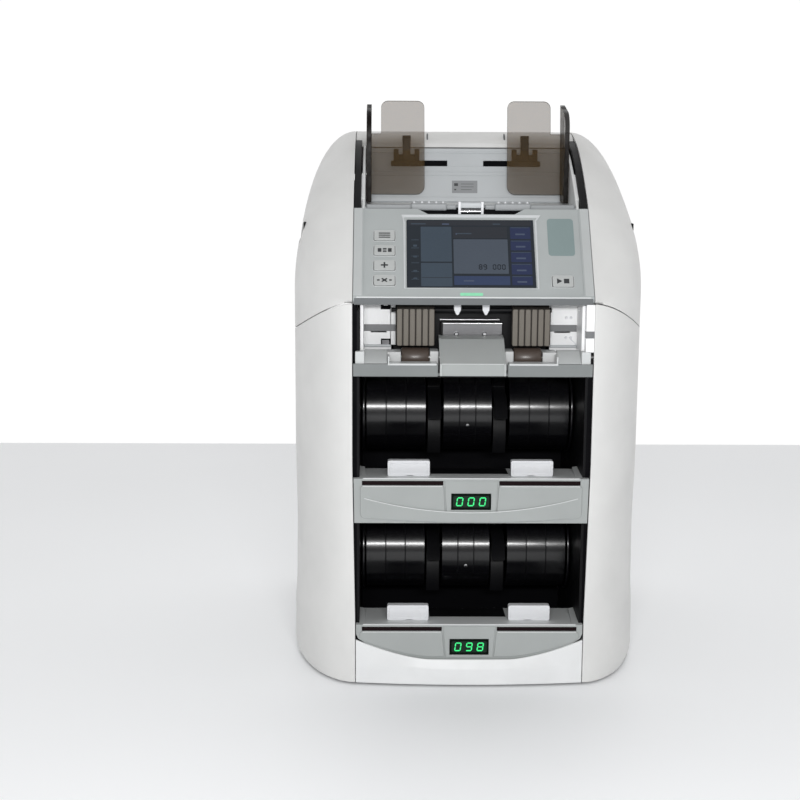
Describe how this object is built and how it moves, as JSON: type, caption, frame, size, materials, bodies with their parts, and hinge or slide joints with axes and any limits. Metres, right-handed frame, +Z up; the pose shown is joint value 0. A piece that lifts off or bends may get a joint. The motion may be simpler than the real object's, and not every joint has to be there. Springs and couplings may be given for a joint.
{
  "type": "banknote counter and sorter",
  "caption": "Two-pocket banknote counting and sorting machine with a sloping touch panel, a top hopper with note guides, drum stackers and a hinged upper unit.",
  "frame": {"origin": "on the surface the machine stands on, below the middle of its bounding box", "axes": "+Z up, the pockets and the control panel face -Y, +X to the right as seen from the front"},
  "size_m": [0.3188, 0.337, 0.5125],
  "materials": {
    "shell_white": "fine moulded texture, satin",
    "panel_grey": "fine moulded texture, satin",
    "gloss_black": "polished",
    "frame_black": "satin black",
    "pad_white": "smooth",
    "steel": "zinc plated and ground",
    "rubber_black": "matt",
    "rubber_brown": "ground, slightly shiny",
    "smoke": "clear smoked sheet",
    "screen_glass": "glossy window"
  },
  "bodies": {
    "base": {"lower_shell_left": "shell_white", "lower_shell_right": "shell_white", "front_base_cover": "shell_white", "rear_cover": "shell_white", "tray_upper": "panel_grey", "tray_lower": "panel_grey", "reject_ledge": "panel_grey", "reject_centre_cover": "panel_grey", "drum_cover_upper": "gloss_black", "drum_cover_lower": "gloss_black", "display_upper": "gloss_black", "display_lower": "gloss_black", "mains_inlet": "gloss_black", "side_frame_left": "frame_black", "side_frame_right": "frame_black", "rear_bulkhead": "frame_black", "exit_guide": "frame_black", "reject_wall_left": "pad_white", "reject_wall_right": "pad_white", "base_plate": "steel", "drive_motor": "steel", "power_supply": "steel", "flap_rod": "steel", "hinge_pin": "steel", "foot_front_left": "rubber_black", "foot_front_right": "rubber_black", "foot_rear_left": "rubber_black", "foot_rear_right": "rubber_black", "drive_belt": "rubber_black"},
    "upper_unit": {"upper_shell_left": "shell_white", "upper_shell_right": "shell_white", "top_cover": "shell_white", "upper_rear_cover": "shell_white", "panel_housing": "panel_grey", "touch_screen": "screen_glass", "hopper_bed": "panel_grey", "hopper_back": "panel_grey", "image_sensor": "gloss_black"},
    "note_stop_upper_left": {"note_stop_upper_left": "pad_white"},
    "note_stop_upper_right": {"note_stop_upper_right": "pad_white"},
    "note_stop_lower_left": {"note_stop_lower_left": "pad_white"},
    "note_stop_lower_right": {"note_stop_lower_right": "pad_white"},
    "stacker_shaft_upper": {"stacker_shaft_upper": "frame_black"},
    "stacker_shaft_lower": {"stacker_shaft_lower": "frame_black"},
    "motor_pulley": {"motor_pulley": "steel"},
    "diverter_gate": {"diverter_gate": "steel"},
    "reject_roller": {"reject_roller": "rubber_brown"},
    "reject_flap_left": {"reject_flap_left": "smoke"},
    "reject_flap_right": {"reject_flap_right": "smoke"},
    "rear_door": {"rear_door": "shell_white"},
    "power_switch": {"power_switch": "gloss_black"},
    "key_menu": {"key_menu": "pad_white"},
    "key_mode": {"key_mode": "pad_white"},
    "key_add": {"key_add": "pad_white"},
    "key_clear": {"key_clear": "pad_white"},
    "key_start": {"key_start": "pad_white"},
    "feed_roller": {"feed_roller": "rubber_brown"},
    "note_guide_left": {"note_guide_left": "smoke"},
    "note_guide_right": {"note_guide_right": "smoke"},
    "guide_pinion": {"guide_pinion": "pad_white"}
  },
  "joints": [
    {"name": "upper_unit_hinge", "type": "hinge", "parent": "base", "child": "upper_unit", "pos_m": [0, 0.164, 0.298], "axis": [-1, 0, 0], "range_deg": [0, 35]},
    {"name": "guide_left_slide", "type": "slide", "parent": "upper_unit", "child": "note_guide_left", "axis": [1, 0, 0], "range_m": [0, 0.03]},
    {"name": "guide_right_slide", "type": "slide", "parent": "upper_unit", "child": "note_guide_right", "axis": [-1, 0, 0], "range_m": [0, 0.03]},
    {"name": "guide_pinion_spin", "type": "hinge", "parent": "upper_unit", "child": "guide_pinion", "pos_m": [0, 0.01109, 0.4546], "axis": [0, -1, 0], "range_deg": [0, 280]},
    {"name": "feed_roller_spin", "type": "hinge", "parent": "upper_unit", "child": "feed_roller", "pos_m": [0, -0.0775, 0.4075], "axis": [1, 0, 0], "continuous": true},
    {"name": "key_menu_press", "type": "slide", "parent": "upper_unit", "child": "key_menu", "axis": [0, 0.788, -0.6157], "range_m": [0, 0.0012], "stiffness_N_per_m": 300},
    {"name": "key_mode_press", "type": "slide", "parent": "upper_unit", "child": "key_mode", "axis": [0, 0.788, -0.6157], "range_m": [0, 0.0012], "stiffness_N_per_m": 300},
    {"name": "key_add_press", "type": "slide", "parent": "upper_unit", "child": "key_add", "axis": [0, 0.788, -0.6157], "range_m": [0, 0.0012], "stiffness_N_per_m": 300},
    {"name": "key_clear_press", "type": "slide", "parent": "upper_unit", "child": "key_clear", "axis": [0, 0.788, -0.6157], "range_m": [0, 0.0012], "stiffness_N_per_m": 300},
    {"name": "key_start_press", "type": "slide", "parent": "upper_unit", "child": "key_start", "axis": [0, 0.788, -0.6157], "range_m": [0, 0.0012], "stiffness_N_per_m": 300},
    {"name": "stacker_upper_spin", "type": "hinge", "parent": "base", "child": "stacker_shaft_upper", "pos_m": [0, -0.057, 0.231], "axis": [1, 0, 0], "continuous": true},
    {"name": "stacker_lower_spin", "type": "hinge", "parent": "base", "child": "stacker_shaft_lower", "pos_m": [0, -0.057, 0.0985], "axis": [1, 0, 0], "continuous": true},
    {"name": "motor_pulley_spin", "type": "hinge", "parent": "base", "child": "motor_pulley", "pos_m": [0.1, 0.055, 0.15], "axis": [1, 0, 0], "continuous": true},
    {"name": "reject_roller_spin", "type": "hinge", "parent": "base", "child": "reject_roller", "pos_m": [0, -0.1315, 0.2903], "axis": [1, 0, 0], "continuous": true},
    {"name": "flap_left_swing", "type": "hinge", "parent": "base", "child": "reject_flap_left", "pos_m": [-0.05025, -0.1285, 0.3315], "axis": [-1, 0, 0], "range_deg": [0, 35]},
    {"name": "flap_right_swing", "type": "hinge", "parent": "base", "child": "reject_flap_right", "pos_m": [0.05025, -0.1285, 0.3315], "axis": [-1, 0, 0], "range_deg": [0, 35]},
    {"name": "stop_upper_left_slide", "type": "slide", "parent": "base", "child": "note_stop_upper_left", "axis": [0, 1, 0], "range_m": [0, 0.014]},
    {"name": "stop_upper_right_slide", "type": "slide", "parent": "base", "child": "note_stop_upper_right", "axis": [0, 1, 0], "range_m": [0, 0.014]},
    {"name": "stop_lower_left_slide", "type": "slide", "parent": "base", "child": "note_stop_lower_left", "axis": [0, 1, 0], "range_m": [0, 0.014]},
    {"name": "stop_lower_right_slide", "type": "slide", "parent": "base", "child": "note_stop_lower_right", "axis": [0, 1, 0], "range_m": [0, 0.014]},
    {"name": "diverter_swing", "type": "hinge", "parent": "base", "child": "diverter_gate", "pos_m": [0, -0.066, 0.305], "axis": [1, 0, 0], "range_deg": [-10, 10]},
    {"name": "rear_door_hinge", "type": "hinge", "parent": "base", "child": "rear_door", "pos_m": [-0.076, 0.1603, 0.167], "axis": [0, 0, 1], "range_deg": [0, 100]},
    {"name": "power_switch_rock", "type": "hinge", "parent": "base", "child": "power_switch", "pos_m": [0.092, 0.153, 0.031], "axis": [1, 0, 0], "range_deg": [-8, 8]}
  ],
  "couplings": [
    {"joint": "guide_right_slide", "follows": "guide_left_slide", "ratio": 1},
    {"joint": "guide_pinion_spin", "follows": "guide_left_slide", "rad_per_m": 160},
    {"joint": "stacker_lower_spin", "follows": "stacker_upper_spin", "ratio": 1},
    {"joint": "motor_pulley_spin", "follows": "stacker_upper_spin", "ratio": 1.5556},
    {"joint": "reject_roller_spin", "follows": "stacker_upper_spin", "ratio": 2.3333}
  ]
}
